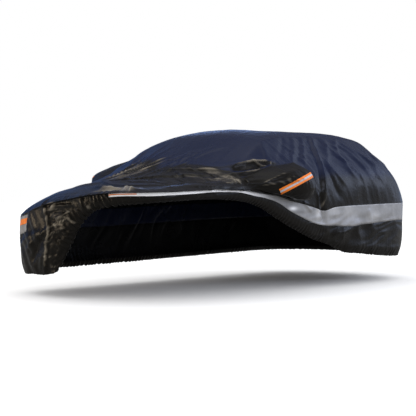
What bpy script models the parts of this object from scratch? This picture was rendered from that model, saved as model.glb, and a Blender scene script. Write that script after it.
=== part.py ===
"""A fitted outdoor car cover, hanging as it does over a five-door hatchback.

The nose points along -X, the car's left side along -Y. Heights in the tables are above the ground,
and one empty lowers everything so that the underside of the roof cloth lies at the origin.
The left front hem is lifted, and the cloth above it hangs over it in folds.
"""

from collections import namedtuple

import bpy
import numpy as np

# Cloth
CLOTH_THICKNESS = 0.002
SEAM_GAP = 0.0005
STRIP_THICKNESS = 0.002
STRIP_WIDTH = 0.050

# The cover's outline at bumper height, from the middle of the wheelbase to each end
HALF_WIDTH = 0.905
End = namedtuple("End", "reach end_rounding end_power side_rounding side_power")
NOSE = End(2.19, 0.10, 3.55, 0.135, 15.6)
TAIL = End(2.08, 0.12, 3.2, 0.215, 9.4)

# How many cells the cloth is cut into, from the nose to the tail and from the left side to the right
Spread = namedtuple("Spread", "cell at")
ALONG = [Spread(0, -1.0), Spread(6, -0.66), Spread(34, 0.08), Spread(50, 1.0)]
ACROSS = [Spread(0, -1.0), Spread(3, -0.60), Spread(11, 0.65), Spread(14, 1.0)]
CELLS_ALONG = 50
CELLS_ACROSS = 14
BAND_END_CELLS = 3
STRIP_CELLS = 2
UPPER_ROWS = 10

# The top, from the hood's front edge to the top of the hatch, on the car's middle line
Top = namedtuple("Top", "x height half_width shoulder_drop")
TOP = [
    Top(-2.06, 0.855, 0.500, 0.045),
    Top(-1.90, 0.885, 0.590, 0.042),
    Top(-1.60, 0.938, 0.670, 0.050),
    Top(-1.30, 1.000, 0.700, 0.060),
    Top(-1.05, 1.095, 0.710, 0.070),
    Top(-0.80, 1.235, 0.700, 0.080),
    Top(-0.50, 1.390, 0.660, 0.090),
    Top(-0.25, 1.447, 0.625, 0.090),
    Top(0.10, 1.458, 0.600, 0.080),
    Top(0.60, 1.466, 0.590, 0.075),
    Top(1.10, 1.474, 0.580, 0.080),
    Top(1.40, 1.450, 0.555, 0.085),
    Top(1.60, 1.405, 0.510, 0.090),
]
NOSE_BOW = 0.13
TAIL_BOW = 0.11
CROWN_POWER = 2.4
BELLY = 0.14
GATHER_LIFT = 0.075

# Heights round the cover of the hem, of the silver band and of the lip of cloth above the band.
# along is the way round from the front left corner, rearward along the left side.
Edge = namedtuple("Edge", "along hem band_low band_high lip lip_out")
EDGES = [
    Edge(-1.60, 0.172, 0.495, 0.640, 0.655, 0.000),
    Edge(-1.25, 0.185, 0.560, 0.700, 0.715, 0.006),
    Edge(-1.10, 0.190, 0.620, 0.745, 0.750, 0.016),
    Edge(-0.97, 0.225, 0.660, 0.770, 0.775, 0.030),
    Edge(-0.86, 0.370, 0.700, 0.790, 0.795, 0.030),
    Edge(-0.78, 0.485, 0.730, 0.800, 0.805, 0.030),
    Edge(-0.70, 0.595, 0.760, 0.812, 0.817, 0.030),
    Edge(-0.60, 0.685, 0.790, 0.828, 0.833, 0.030),
    Edge(-0.48, 0.735, 0.812, 0.842, 0.847, 0.030),
    Edge(-0.33, 0.755, 0.829, 0.854, 0.859, 0.030),
    Edge(0.00, 0.783, 0.837, 0.862, 0.867, 0.026),
    Edge(0.35, 0.804, 0.856, 0.876, 0.881, 0.026),
    Edge(0.67, 0.811, 0.872, 0.889, 0.894, 0.026),
    Edge(0.95, 0.797, 0.866, 0.883, 0.888, 0.026),
    Edge(1.12, 0.776, 0.841, 0.868, 0.873, 0.026),
    Edge(1.28, 0.732, 0.820, 0.852, 0.857, 0.024),
    Edge(1.44, 0.666, 0.785, 0.840, 0.845, 0.020),
    Edge(1.63, 0.590, 0.708, 0.800, 0.805, 0.014),
    Edge(1.80, 0.530, 0.652, 0.774, 0.780, 0.010),
    Edge(1.98, 0.468, 0.600, 0.740, 0.750, 0.006),
    Edge(2.14, 0.428, 0.576, 0.708, 0.722, 0.004),
    Edge(2.30, 0.390, 0.570, 0.737, 0.750, 0.002),
    Edge(2.50, 0.325, 0.562, 0.750, 0.764, 0.000),
    Edge(2.80, 0.297, 0.573, 0.760, 0.774, 0.000),
    Edge(3.30, 0.254, 0.600, 0.772, 0.786, 0.000),
    Edge(3.95, 0.240, 0.606, 0.778, 0.792, 0.000),
    Edge(5.60, 0.240, 0.606, 0.778, 0.792, 0.000),
    Edge(7.60, 0.205, 0.560, 0.730, 0.744, 0.000),
    Edge(9.60, 0.172, 0.495, 0.640, 0.655, 0.000),
]

# How far the wall's lines stand in from the outline. The hem is drawn in by its elastic and turned up inside.
Line = namedtuple("Line", "name inset lower upper share")
SKIRT_AND_BAND = [
    Line("hem edge", 0.080, "hem", "band_low", 0.00),
    Line("turned hem", 0.062, "hem", "band_low", 0.00),
    Line("hem fold", 0.042, "hem", "band_low", 0.00),
    Line("skirt low", 0.014, "hem", "band_low", 0.25),
    Line("skirt high", 0.002, "hem", "band_low", 0.62),
    Line("band foot", 0.000, "hem", "band_low", 1.00),
    Line("strip foot", 0.000, "band_low", "band_high", 0.50),
    Line("strip head", 0.000, "band_low", "band_high", 0.82),
    Line("band head", 0.000, "band_low", "band_high", 1.00),
]
HEM_EDGE_RISE = 0.045
HEM_TURN_RISE = 0.008

# Soft ridges and troughs that follow a bowed line on one face of the cover: X and Z on a side, Y and Z on the nose
# or the tail, X and Y on top
Fold = namedtuple("Fold", "face u0 w0 u1 w1 bow width height")
FOLDS = [
    Fold("left", -1.84, 0.915, -1.15, 0.918, 0.000, 0.022, 0.014),
    Fold("left", -1.86, 0.945, -1.05, 0.985, 0.000, 0.022, 0.016),
    Fold("left", -1.75, 0.965, -0.90, 1.040, 0.000, 0.020, -0.012),
    Fold("left", -1.40, 0.895, -0.80, 0.900, 0.000, 0.020, -0.012),
    Fold("left", -1.15, 1.055, -0.80, 1.115, 0.000, 0.030, 0.030),
    Fold("left", -0.80, 1.115, -0.48, 1.085, 0.000, 0.030, 0.030),
    Fold("left", -1.25, 1.020, -0.62, 1.030, 0.000, 0.022, -0.018),
    Fold("left", -0.45, 1.370, -0.56, 1.160, 0.000, 0.045, 0.012),
    Fold("left", 0.07, 1.377, -0.28, 1.122, 0.000, 0.040, 0.014),
    Fold("left", 0.22, 1.378, -0.07, 1.145, 0.000, 0.040, 0.014),
    Fold("left", 0.35, 1.365, 0.18, 0.743, -0.106, 0.050, 0.022),
    Fold("left", 0.58, 1.375, 0.30, 1.136, 0.000, 0.045, 0.014),
    Fold("left", 0.21, 1.144, 0.40, 0.825, -0.012, 0.045, -0.014),
    Fold("left", 0.30, 1.118, 0.48, 0.945, 0.000, 0.045, 0.014),
    Fold("left", 0.78, 1.383, 0.73, 0.995, -0.151, 0.050, 0.016),
    Fold("left", 0.84, 1.346, 1.36, 1.023, -0.019, 0.055, 0.016),
    Fold("left", 0.70, 1.200, 1.15, 0.960, 0.000, 0.055, -0.014),
    Fold("left", 0.08, 0.860, 0.16, 0.590, 0.000, 0.040, -0.024),
    Fold("left", 0.30, 0.490, 0.73, 0.560, 0.010, 0.045, 0.022),
    Fold("left", 0.90, 0.720, 0.95, 0.560, 0.000, 0.035, 0.010),
    Fold("front", 0.25, 0.806, 0.27, 0.203, -0.079, 0.040, 0.024),
    Fold("front", 0.21, 0.548, 0.52, 0.372, 0.000, 0.045, 0.018),
    Fold("front", 0.26, 0.490, 0.43, 0.269, 0.000, 0.040, -0.016),
    Fold("front", 0.45, 0.760, 0.66, 0.450, 0.000, 0.045, -0.014),
    Fold("top", -1.53, 0.263, -1.37, -0.882, -0.287, 0.050, 0.014),
    Fold("top", -1.37, 0.055, -1.09, -0.648, -0.052, 0.050, 0.012),
    Fold("top", -1.05, 0.445, -0.64, 0.582, 0.000, 0.050, 0.010),
    Fold("top", -1.31, 0.275, -0.73, 0.191, 0.026, 0.050, 0.010),
    Fold("top", -1.40, 0.094, -0.78, -0.211, 0.091, 0.050, 0.010),
    Fold("right", -1.80, 0.900, -0.95, 0.960, 0.000, 0.035, 0.014),
    Fold("right", -0.30, 1.330, -0.45, 0.700, 0.000, 0.060, 0.014),
    Fold("right", 0.35, 1.360, 0.30, 0.500, 0.000, 0.060, 0.016),
    Fold("right", 0.95, 1.340, 1.20, 0.700, 0.000, 0.060, -0.014),
    Fold("right", 1.45, 1.280, 1.60, 0.400, 0.000, 0.060, 0.014),
    Fold("rear", -0.45, 1.200, -0.55, 0.450, 0.000, 0.060, 0.014),
    Fold("rear", 0.10, 1.250, 0.05, 0.500, 0.000, 0.070, -0.012),
    Fold("rear", 0.50, 1.200, 0.58, 0.400, 0.000, 0.060, 0.014),
]

# The mirror pockets: which part of the side wall bulges out, and how far
Pocket = namedtuple("Pocket", "side front rear low high crest ramp depth sag_low sag_high sweep")
POCKETS = [
    Pocket(-1, -1.00, -0.12, 1, 6, 0.74, 1.5, 0.195, 0.270, -0.020, 0.040),
    Pocket(1, -0.99, -0.38, 4, 9, 0.36, 0.8, 0.200, 0.000, -0.062, 0.010),
]


def column(rows, name):
    return np.array([getattr(row, name) for row in rows])


def curve(rows, name, over, at):
    """A smooth curve through one column of a table, held level past its ends."""
    x, y = column(rows, over), column(rows, name)
    at = np.clip(at, x[0], x[-1])
    slope = np.gradient(y, x)
    i = np.clip(np.searchsorted(x, at) - 1, 0, len(x) - 2)
    h = x[i + 1] - x[i]
    u = (at - x[i]) / h
    return (
        (1 + 2 * u) * (1 - u) ** 2 * y[i]
        + u * (1 - u) ** 2 * h * slope[i]
        + u**2 * (3 - 2 * u) * y[i + 1]
        + u**2 * (u - 1) * h * slope[i + 1]
    )


def top(p, q):
    """The top of the cover, over the square -1 to 1 along the car and across it."""
    x = np.interp(p, [-1, 1], [TOP[0].x, TOP[-1].x])
    bow = NOSE_BOW * np.clip(-p, 0, 1) ** 1.5 - TAIL_BOW * np.clip(p, 0, 1) ** 1.5
    drop = curve(TOP, "shoulder_drop", "x", x) * np.abs(q) ** CROWN_POWER
    gathered = GATHER_LIFT * np.clip(-p, 0, 1) ** 3 * np.clip(-q, 0, 1) ** 2
    height = curve(TOP, "height", "x", x) - drop + gathered
    return np.stack([x + bow * np.abs(q) ** 2.5, q * curve(TOP, "half_width", "x", x), height], axis=-1)


def outline(p, q):
    """The cover's plan at bumper height, for the same square."""
    shapes = []
    for end in (NOSE, TAIL):
        x = end.reach * p * (1 - end.end_rounding * np.abs(q) ** end.end_power)
        y = HALF_WIDTH * q * (1 - end.side_rounding * np.abs(p) ** end.side_power)
        shapes.append(np.stack([x, y], axis=-1))
    return np.where(np.reshape(p < 0, (-1, 1)), *shapes)


def unit(vectors):
    return vectors / np.maximum(np.linalg.norm(vectors, axis=-1, keepdims=True), 1e-12)


# The ring of stations starts at the front left corner and runs back down the left side
p_lines = np.interp(np.arange(CELLS_ALONG + 1), column(ALONG, "cell"), column(ALONG, "at"))
q_lines = np.interp(np.arange(CELLS_ACROSS + 1), column(ACROSS, "cell"), column(ACROSS, "at"))
ring_p = np.concatenate([p_lines[:-1], np.ones(CELLS_ACROSS), p_lines[:0:-1], -np.ones(CELLS_ACROSS)])
ring_q = np.concatenate([-np.ones(CELLS_ALONG), q_lines[:-1], np.ones(CELLS_ALONG), q_lines[:0:-1]])
stations = len(ring_p)
plan = outline(ring_p, ring_q)
tangent = unit(np.roll(plan, -1, 0) - np.roll(plan, 1, 0))
outward = np.stack([tangent[:, 1], -tangent[:, 0]], axis=-1)
steps = np.linalg.norm(np.roll(plan, -1, 0) - plan, axis=1)
along = np.concatenate([[0], np.cumsum(steps)[:-1]])
nose_first = 2 * CELLS_ALONG + CELLS_ACROSS
along[nose_first:] -= steps.sum()


def wall_line(inset, height):
    return np.column_stack([plan - outward * np.reshape(inset, (-1, 1)), np.broadcast_to(height, stations)])


def edge(name):
    return curve(EDGES, name, "along", along)


lines = []
for line in SKIRT_AND_BAND:
    height = edge(line.lower) * (1 - line.share) + edge(line.upper) * line.share
    lines.append(wall_line(line.inset, height))
lines[0][:, 2] += HEM_EDGE_RISE
lines[1][:, 2] += HEM_TURN_RISE

lip = wall_line(-edge("lip_out"), edge("lip"))
shoulder = top(ring_p, ring_q)
rise = shoulder[:, 2] - lip[:, 2]
run = np.linalg.norm(shoulder[:, :2] - lip[:, :2], axis=1)
fullness = BELLY * np.interp(ring_p, [-1, -0.75, 0.75, 1], [0.35, 1, 1, 0.6])
for row in range(UPPER_ROWS):
    t = (row / UPPER_ROWS) ** 1.15
    line = lip * (1 - t) + shoulder * t
    belly = fullness * np.sin(np.pi * t) * (1 + 0.3 * np.cos(np.pi * t))
    line[:, :2] += outward * (rise * belly)[:, None]
    line[:, 2] += run * belly
    lines.append(line)
wall = np.array(lines)
wall_rows = len(wall)
BAND_FOOT, BAND_HEAD, LIP = 5, 8, 9

# One net of points and four-sided cells for the whole cover
top_points = top(*np.meshgrid(p_lines, q_lines, indexing="ij"))
points = np.concatenate([wall.reshape(-1, 3), top_points.reshape(-1, 3)])


def on_top(i, j):
    return wall_rows * stations + i * (CELLS_ACROSS + 1) + j


def on_wall(station, row):
    """The point at a station and row. The row above the last one is the edge of the top."""
    k = station % stations
    if row < wall_rows:
        return row * stations + k
    if k < CELLS_ALONG:
        return on_top(k, 0)
    if k < CELLS_ALONG + CELLS_ACROSS:
        return on_top(CELLS_ALONG, k - CELLS_ALONG)
    if k < nose_first:
        return on_top(nose_first - k, CELLS_ACROSS)
    return on_top(0, stations - k)


def side_of(k):
    """Which face of the wall the cell after station k belongs to."""
    faces = ("left", "rear", "right", "front")
    starts = (0, CELLS_ALONG, CELLS_ALONG + CELLS_ACROSS, nose_first)
    return faces[np.searchsorted(starts, k, side="right") - 1]


def band_here(k):
    """The band's two ends wrap round the front corners and stop on the nose."""
    return side_of(k) != "front" or k < nose_first + BAND_END_CELLS or k >= stations - BAND_END_CELLS


def pocket_here(k, row):
    """The pocket that the wall's cell belongs to, if any."""
    for pocket in POCKETS:
        face = "left" if pocket.side < 0 else "right"
        middle = (plan[k, 0] + plan[(k + 1) % stations, 0]) / 2
        if side_of(k) != face or not pocket.front < middle < pocket.rear:
            continue
        if pocket.low <= row - LIP < pocket.high:
            return f"mirror_pocket_{face}"
    return None


def panel_of(k, row):
    face = side_of(k)
    if row < BAND_FOOT:
        return "skirt"
    if row < BAND_HEAD and band_here(k):
        return "band"
    if face in ("front", "rear"):
        return "centre_panel"
    return pocket_here(k, row) or f"side_panel_{face}"


panels = {}
for k in range(stations):
    for row in range(wall_rows):
        cell = (on_wall(k, row), on_wall(k + 1, row), on_wall(k + 1, row + 1), on_wall(k, row + 1))
        panels.setdefault(panel_of(k, row), []).append(cell)
for i in range(CELLS_ALONG):
    for j in range(CELLS_ACROSS):
        cell = (on_top(i, j), on_top(i + 1, j), on_top(i + 1, j + 1), on_top(i, j + 1))
        panels["centre_panel"].append(cell)
panels = {name: np.array(cells) for name, cells in panels.items()}
cells = np.concatenate(list(panels.values()))


def normals_of(points, cells):
    """Outward normals. Every cell round a point counts alike, so that a fold keeps its thickness."""
    a, b, c, d = (points[cells[:, n]] for n in range(4))
    face = unit(np.cross(c - a, d - b))
    total = np.zeros_like(points)
    for n in range(4):
        np.add.at(total, cells[:, n], face)
    return unit(total)


def distance(points, fold):
    """How far each point is from the fold's bowed line, and where along it the point is, from 0 to 1."""
    start, way = np.array((fold.u0, fold.w0)), np.array((fold.u1 - fold.u0, fold.w1 - fold.w0))
    t = np.clip((points - start) @ way / (way @ way), 0, 1)
    square = np.array((-way[1], way[0])) / np.linalg.norm(way)
    nearest = start + t[:, None] * way + (fold.bow * 4 * t * (1 - t))[:, None] * square
    return np.linalg.norm(points - nearest, axis=1), t


FACES = {
    "left": ((0, 2), (0, -1, 0)),
    "right": ((0, 2), (0, 1, 0)),
    "front": ((1, 2), (-1, 0, 0)),
    "rear": ((1, 2), (1, 0, 0)),
    "top": ((0, 1), (0, 0, 1)),
}
normals = normals_of(points, cells)
lift = np.zeros(len(points))
for fold in FOLDS:
    axes, faces_to = FACES[fold.face]
    off, t = distance(points[:, list(axes)], fold)
    facing = np.sqrt(np.clip(normals @ np.array(faces_to), 0, 1))
    soft_ends = 0.35 + 0.65 * np.sin(np.pi * t) ** 0.6
    lift += fold.height * np.exp(-((off / fold.width) ** 2)) * facing * soft_ends
turned_in = np.zeros(len(points), bool)
turned_in[: 2 * stations] = True
points = points + normals * np.where(turned_in, 0, lift)[:, None]

for pocket in POCKETS:
    name = "mirror_pocket_left" if pocket.side < 0 else "mirror_pocket_right"
    used = np.unique(panels[name])
    k, row = used % stations, used // stations
    s = (k - k.min()) / (k.max() - k.min())
    s = s if pocket.side < 0 else 1 - s
    t = (row - row.min()) / (row.max() - row.min())
    ramp = np.sin(np.pi / 2 * np.clip(s / pocket.crest, 0, 1)) ** pocket.ramp
    round_end = np.sqrt(1 - np.clip((s - pocket.crest) / (1 - pocket.crest), 0, 1) ** 2)
    bulge = ramp * round_end * np.sin(np.pi * t) ** 0.8
    points[used, 1] += pocket.side * pocket.depth * bulge
    points[used, 0] += pocket.sweep * bulge * s
    points[used, 2] -= (pocket.sag_low * (1 - t) ** 3 + pocket.sag_high) * bulge
normals = normals_of(points, cells)


def material(name, colour, roughness):
    made = bpy.data.materials.new(name)
    made.use_nodes = True
    shader = made.node_tree.nodes["Principled BSDF"]
    shader.inputs["Base Color"].default_value = (*colour, 1)
    shader.inputs["Roughness"].default_value = roughness
    return made


def inset_of(cells):
    """Moves a panel's edge inward by half a seam gap, so that it keeps clear of its neighbour."""
    edges = {}
    for number, cell in enumerate(cells):
        for n in range(4):
            key = (cell[n], cell[(n + 1) % 4])
            if key[::-1] in edges:
                del edges[key[::-1]]
            else:
                edges[key] = number
    inward = {}
    for (a, b), number in edges.items():
        way = unit(points[b] - points[a])
        corners = points[cells[number]]
        face = unit(np.cross(corners[2] - corners[0], corners[3] - corners[1]))
        for end in (a, b):
            inward.setdefault(end, []).append(np.cross(face, way))
    shift = np.zeros_like(points)
    for end, ways in inward.items():
        if len(ways) == 2:
            bend = max(1 + ways[0] @ ways[1], 0.3)
            shift[end] = (ways[0] + ways[1]) * SEAM_GAP / 2 / bend
        else:
            shift[end] = unit(sum(ways)) * SEAM_GAP / 2
    return shift, list(edges)


def sheet(name, cells, made_of, below, above):
    """A closed sheet over some cells, from `below` to `above` along the normals."""
    shift, edges = inset_of(cells)
    used, index = np.unique(cells, return_inverse=True)
    index = index.reshape(cells.shape)
    number = {point: n for n, point in enumerate(used)}
    middle = points[used] + shift[used]
    outer = middle + normals[used] * above
    inner = middle + normals[used] * below
    count = len(used)
    # Both skins, and both sides of a seam, take the same diagonals, so that a twisted cell keeps its thickness
    a, b, c, d = (points[cells[:, n]] for n in range(4))
    short = np.linalg.norm(a - c, axis=1) <= np.linalg.norm(b - d, axis=1)
    halves = np.where(short[:, None], index[:, [0, 1, 2, 0, 2, 3]], index[:, [0, 1, 3, 1, 2, 3]]).reshape(-1, 3)
    faces = [list(half) for half in halves]
    faces += [[c + count for c in half[::-1]] for half in halves]
    for one, two in edges:
        a, b = number[one], number[two]
        if one < two:
            faces += [[b, a, b + count], [a, a + count, b + count]]
        else:
            faces += [[b, a, a + count], [b, a + count, b + count]]
    mesh = bpy.data.meshes.new(name)
    mesh.from_pydata([tuple(p) for p in np.concatenate([outer, inner])], [], faces)
    mesh.materials.append(made_of)
    made = bpy.data.objects.new(name, mesh)
    bpy.context.collection.objects.link(made)
    made.parent = ground
    return made


for old in list(bpy.data.objects):
    bpy.data.objects.remove(old)

roof_height = curve(TOP, "height", "x", np.array([0.3]))[0] - CLOTH_THICKNESS
ground = bpy.data.objects.new("ground", None)
ground.location = (-0.3, 0, -roof_height)
bpy.context.collection.objects.link(ground)

black = material("black_polyester", (0.012, 0.014, 0.022), 0.35)
silver = material("silver_reflective_polyester", (0.42, 0.42, 0.43), 0.45)
orange = material("orange_reflective_tape", (0.9, 0.22, 0.02), 0.5)

for name, panel in panels.items():
    sheet(name, panel, silver if name == "band" else black, -CLOTH_THICKNESS, 0.0)

# Reflective strips. Those at the corners follow the cells at the band's two ends.
for face, first in (("left", stations - BAND_END_CELLS), ("right", nose_first + BAND_END_CELLS - STRIP_CELLS)):
    strip = []
    for k in range(first, first + STRIP_CELLS):
        strip.append([on_wall(k, 6), on_wall(k + 1, 6), on_wall(k + 1, 7), on_wall(k, 7)])
    sheet(f"corner_strip_{face}", np.array(strip), orange, SEAM_GAP, SEAM_GAP + STRIP_THICKNESS)

# Those on the pockets are cut from a skin over the pocket by a slanted block.
Slant = namedtuple("Slant", "side x0 z0 x1 z1")
SLANTS = [Slant(-1, -0.78, 0.800, -0.24, 1.043), Slant(1, -0.94, 0.985, -0.52, 1.06)]
for slant in SLANTS:
    face = "left" if slant.side < 0 else "right"
    skin = sheet(f"mirror_strip_{face}", panels[f"mirror_pocket_{face}"], orange, SEAM_GAP, SEAM_GAP + STRIP_THICKNESS)
    start, way = np.array([slant.x0, slant.z0]), np.array([slant.x1 - slant.x0, slant.z1 - slant.z0])
    side = np.array([-way[1], way[0]]) / np.linalg.norm(way) * STRIP_WIDTH / 2
    corners = [start - side, start + way - side, start + way + side, start + side]
    near, far = slant.side * 0.80, slant.side * 1.30
    block = bpy.data.meshes.new("strip_block")
    verts = [(x, y, z) for y in (near, far) for x, z in corners]
    order = [(0, 1, 2, 3), (7, 6, 5, 4), (0, 4, 5, 1), (1, 5, 6, 2), (2, 6, 7, 3), (3, 7, 4, 0)]
    block.from_pydata(verts, [], order if slant.side > 0 else [f[::-1] for f in order])
    cutter = bpy.data.objects.new("strip_block", block)
    cutter.hide_render = True
    cutter.display_type = "WIRE"
    cutter.parent = ground
    bpy.context.collection.objects.link(cutter)
    cut = skin.modifiers.new("strip", "BOOLEAN")
    cut.operation = "INTERSECT"
    cut.solver = "EXACT"
    cut.object = cutter
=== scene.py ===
import math
from collections import namedtuple

import bpy
import numpy as np
from mathutils import Matrix


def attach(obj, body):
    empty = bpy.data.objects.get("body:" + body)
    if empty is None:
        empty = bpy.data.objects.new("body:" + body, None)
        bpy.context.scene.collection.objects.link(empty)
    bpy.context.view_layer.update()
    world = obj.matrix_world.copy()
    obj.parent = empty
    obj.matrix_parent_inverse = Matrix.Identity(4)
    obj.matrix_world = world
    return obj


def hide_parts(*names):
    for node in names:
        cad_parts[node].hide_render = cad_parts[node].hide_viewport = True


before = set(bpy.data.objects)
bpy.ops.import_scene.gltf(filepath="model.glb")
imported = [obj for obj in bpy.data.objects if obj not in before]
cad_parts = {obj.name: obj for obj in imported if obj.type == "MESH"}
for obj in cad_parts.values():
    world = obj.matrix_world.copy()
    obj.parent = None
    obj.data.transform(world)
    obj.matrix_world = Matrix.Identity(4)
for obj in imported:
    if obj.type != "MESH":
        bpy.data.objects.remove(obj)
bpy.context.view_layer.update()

# --------------------------------------------
# Centre panel
# One long cloth over the bonnet, windscreen, roof and hatch and down both ends, of black polyester
# with a glossy waterproof coating, cut and sewn to the car's shape.
# Its shape is drawn on one net with all the other panels, so that they meet at the seams.

# The net stands on the ground here. The solids have their origin under the roof cloth.
GROUND = np.array([-0.3, 0.0, -1.4598534])

# The cover's plan at bumper height, in metres, from the middle of the wheelbase to each end
HALF_WIDTH = 0.905
End = namedtuple("End", "reach end_rounding end_power side_rounding side_power")
NOSE = End(2.19, 0.10, 3.55, 0.135, 15.6)
TAIL = End(2.08, 0.12, 3.2, 0.215, 9.4)

# How finely the net is divided along the car and across it, as shares of its half length and half width.
# Cells are 8 to 9 mm where the cloth is crumpled.
Spread = namedtuple("Spread", "cell at")
ALONG = [Spread(0, -1), Spread(60, -0.66), Spread(256, 0.08), Spread(352, 1)]
ACROSS = [Spread(0, -1), Spread(60, -0.60), Spread(138, 0.2), Spread(156, 0.65), Spread(171, 1)]

# The top, from the bonnet's front edge to the top of the hatch: its height on the middle line, and how wide
# it is and how far it falls to each side
Top = namedtuple("Top", "x height half_width shoulder_drop")
TOP = [
    Top(-2.06, 0.855, 0.5, 0.045),
    Top(-1.9, 0.885, 0.59, 0.042),
    Top(-1.6, 0.938, 0.67, 0.05),
    Top(-1.3, 1, 0.7, 0.06),
    Top(-1.05, 1.095, 0.71, 0.07),
    Top(-0.8, 1.235, 0.7, 0.08),
    Top(-0.5, 1.39, 0.66, 0.09),
    Top(-0.25, 1.447, 0.625, 0.09),
    Top(0.1, 1.458, 0.6, 0.08),
    Top(0.6, 1.466, 0.59, 0.075),
    Top(1.1, 1.474, 0.58, 0.08),
    Top(1.4, 1.45, 0.555, 0.085),
    Top(1.6, 1.405, 0.51, 0.09),
]
# Its front and rear edges are bowed in plan, and it crowns towards its sides
NOSE_BOW, TAIL_BOW = 0.13, 0.11
BOW_FADE, BOW_POWER = 1.5, 2.5
CROWN_POWER = 2.4
# The cloth gathered at the front left corner stands higher, and dies out along the car and across it
GATHER_LIFT = 0.075
GATHER_FADE_ALONG, GATHER_FADE_ACROSS = 3, 2

# Heights round the cover of the hem, the silver band and the lip of cloth above the band. along is the
# way round from the front left corner: rearward along the left side, and negative across the nose.
Edge = namedtuple("Edge", "along hem band_low band_high lip lip_out", defaults=[0.0])
EDGES = [
    Edge(-1.6, 0.172, 0.495, 0.64, 0.655),
    Edge(-1.25, 0.185, 0.56, 0.7, 0.715, 0.006),
    Edge(-1.1, 0.19, 0.62, 0.745, 0.75, 0.016),
    Edge(-0.97, 0.225, 0.66, 0.77, 0.775, 0.03),
    Edge(-0.86, 0.37, 0.7, 0.79, 0.795, 0.03),
    Edge(-0.78, 0.485, 0.73, 0.8, 0.805, 0.03),
    Edge(-0.7, 0.595, 0.76, 0.812, 0.817, 0.03),
    Edge(-0.6, 0.685, 0.79, 0.828, 0.833, 0.03),
    Edge(-0.48, 0.735, 0.812, 0.842, 0.847, 0.03),
    Edge(-0.33, 0.755, 0.829, 0.854, 0.859, 0.03),
    Edge(0, 0.783, 0.837, 0.862, 0.867, 0.026),
    Edge(0.35, 0.804, 0.856, 0.876, 0.881, 0.026),
    Edge(0.67, 0.811, 0.872, 0.889, 0.894, 0.026),
    Edge(0.95, 0.797, 0.866, 0.883, 0.888, 0.026),
    Edge(1.12, 0.776, 0.841, 0.868, 0.873, 0.026),
    Edge(1.28, 0.732, 0.82, 0.852, 0.857, 0.024),
    Edge(1.44, 0.666, 0.785, 0.84, 0.845, 0.02),
    Edge(1.63, 0.59, 0.708, 0.8, 0.805, 0.014),
    Edge(1.8, 0.53, 0.652, 0.774, 0.78, 0.01),
    Edge(1.98, 0.468, 0.6, 0.74, 0.75, 0.006),
    Edge(2.14, 0.428, 0.576, 0.708, 0.722, 0.004),
    Edge(2.3, 0.39, 0.57, 0.737, 0.75, 0.002),
    Edge(2.5, 0.325, 0.562, 0.75, 0.764),
    Edge(2.8, 0.297, 0.573, 0.76, 0.774),
    Edge(3.3, 0.254, 0.6, 0.772, 0.786),
    Edge(3.95, 0.24, 0.606, 0.778, 0.792),
    Edge(5.6, 0.24, 0.606, 0.778, 0.792),
    Edge(7.6, 0.205, 0.56, 0.73, 0.744),
    Edge(9.6, 0.172, 0.495, 0.64, 0.655),
]

# The wall's lines from the turned-in hem up. Each stands in from the plan, at a share of the way up the
# skirt or the band, plus a rise. cells is how many cells there are to the next line.
Line = namedtuple("Line", "level inset share rise cells")
LINES = [
    Line(0, 0.08, 0, 0.045, 2),
    Line(1, 0.062, 0, 0.008, 2),
    Line(2, 0.042, 0, 0, 8),
    Line(3, 0.014, 0.25, 0, 12),
    Line(4, 0.002, 0.62, 0, 12),
    Line(5, 0, 0, 0, 5),
    Line(6, 0, 0.5, 0, 4),
    Line(7, 0, 0.82, 0, 3),
    Line(8, 0, 1, 0, 2),
]
BAND_FOOT, STRIP_FOOT, STRIP_HEAD, BAND_HEAD, LIP = 5, 6, 7, 8, 9
HEM_EASE = 1.6

# From the lip to the shoulder the wall bellies out, more so low down and less at the nose and the tail
UPPER_LEVELS = 10
UPPER_CELLS = 54
SHOULDER = LIP + UPPER_LEVELS
WALL_EASE = 1.15
BELLY = 0.14
LOW_BELLY = 0.3
BELLY_ALONG = ([-1, -0.75, 0.75, 1], [0.35, 1, 1, 0.6])

# The mirror pockets: which part of the side wall bulges out, as shares of the half length and as levels,
# where along it the bulge is fullest, and how far it reaches out, sags and sweeps back, in metres
Pocket = namedtuple("Pocket", "face side front rear low high crest ramp depth sag_low sag_high sweep")
POCKETS = [
    Pocket("left", -1, -0.5014, -0.0521, 10, 15, 0.74, 1.5, 0.195, 0.27, -0.02, 0.04),
    Pocket("right", 1, -0.5014, -0.1843, 13, 18, 0.36, 0.8, 0.2, 0, -0.062, 0.01),
]
POCKET_ROUNDNESS = 0.8

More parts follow.
